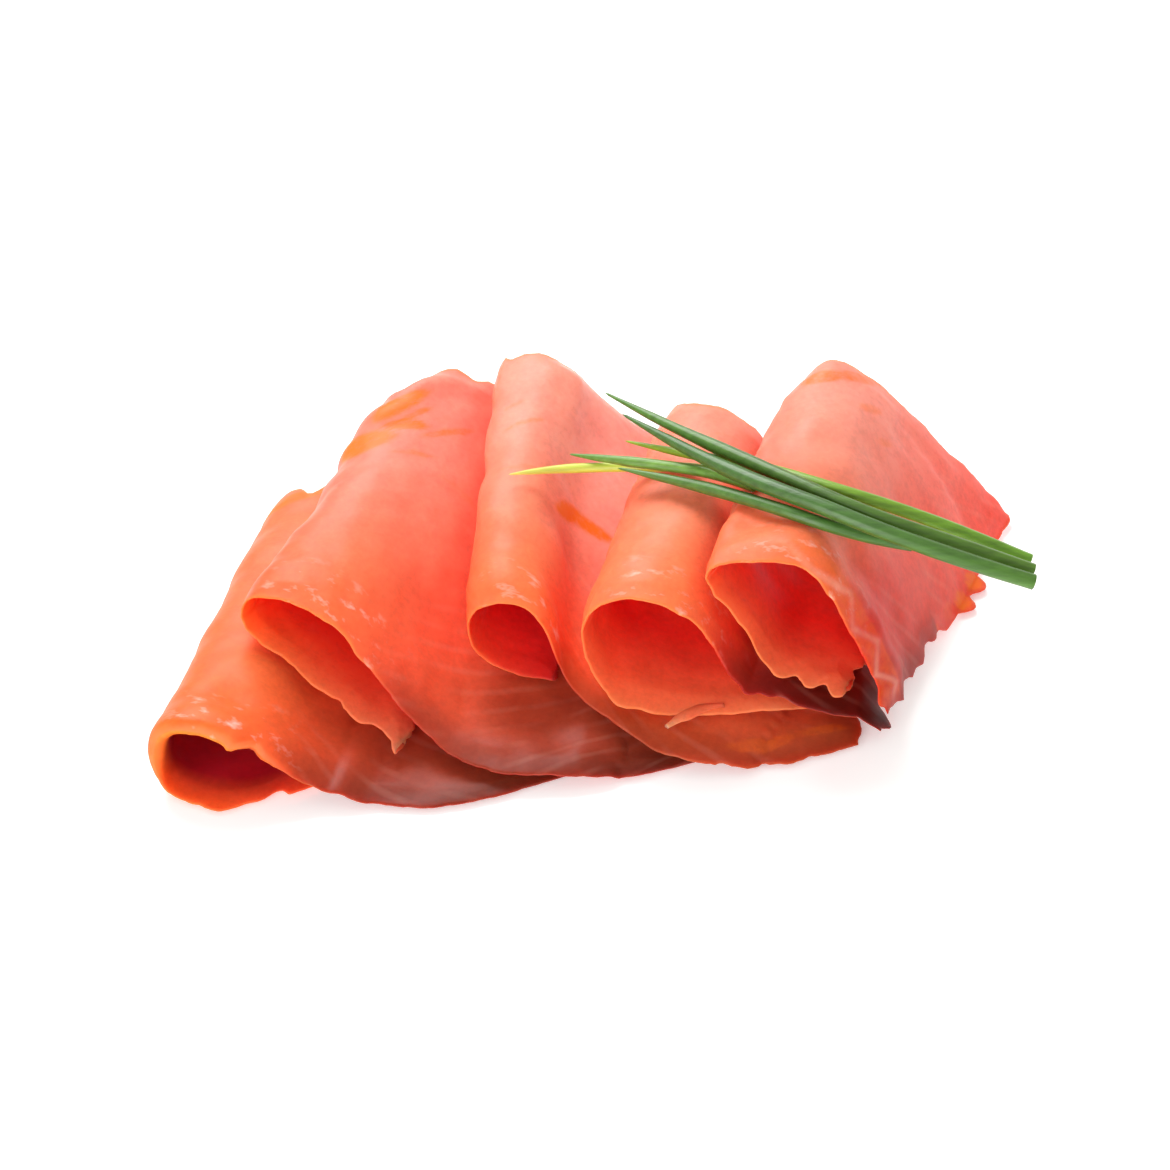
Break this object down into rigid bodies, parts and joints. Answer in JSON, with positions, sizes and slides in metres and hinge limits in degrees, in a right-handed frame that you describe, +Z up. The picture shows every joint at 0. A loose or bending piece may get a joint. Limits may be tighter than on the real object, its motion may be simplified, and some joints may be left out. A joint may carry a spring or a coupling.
{
  "type": "smoked salmon slices",
  "caption": "Thin smoked salmon slices, each folded over into a loose open loop and laid like shingles, with green chive blades lying across them.",
  "frame": {"origin": "on the surface the pile rests on, below the middle of its bounding box", "axes": "+X along the row of slices, towards the chives' cut ends; +Y from the open fronts of the loops to their backs; +Z up"},
  "size_m": [0.173, 0.104, 0.0459],
  "materials": {
    "salmon": "moist, satin, translucent orange-pink flesh with pale muscle lines",
    "chive": "waxy dark green leaf, paler and yellower at the tips"
  },
  "bodies": {
    "root": {"slice_1": "salmon", "slice_2": "salmon", "slice_3": "salmon", "slice_4": "salmon", "slice_5": "salmon", "chive_1": "chive", "chive_2": "chive", "chive_3": "chive", "chive_4": "chive", "chive_5": "chive", "chive_6": "chive"}
  },
  "joints": []
}
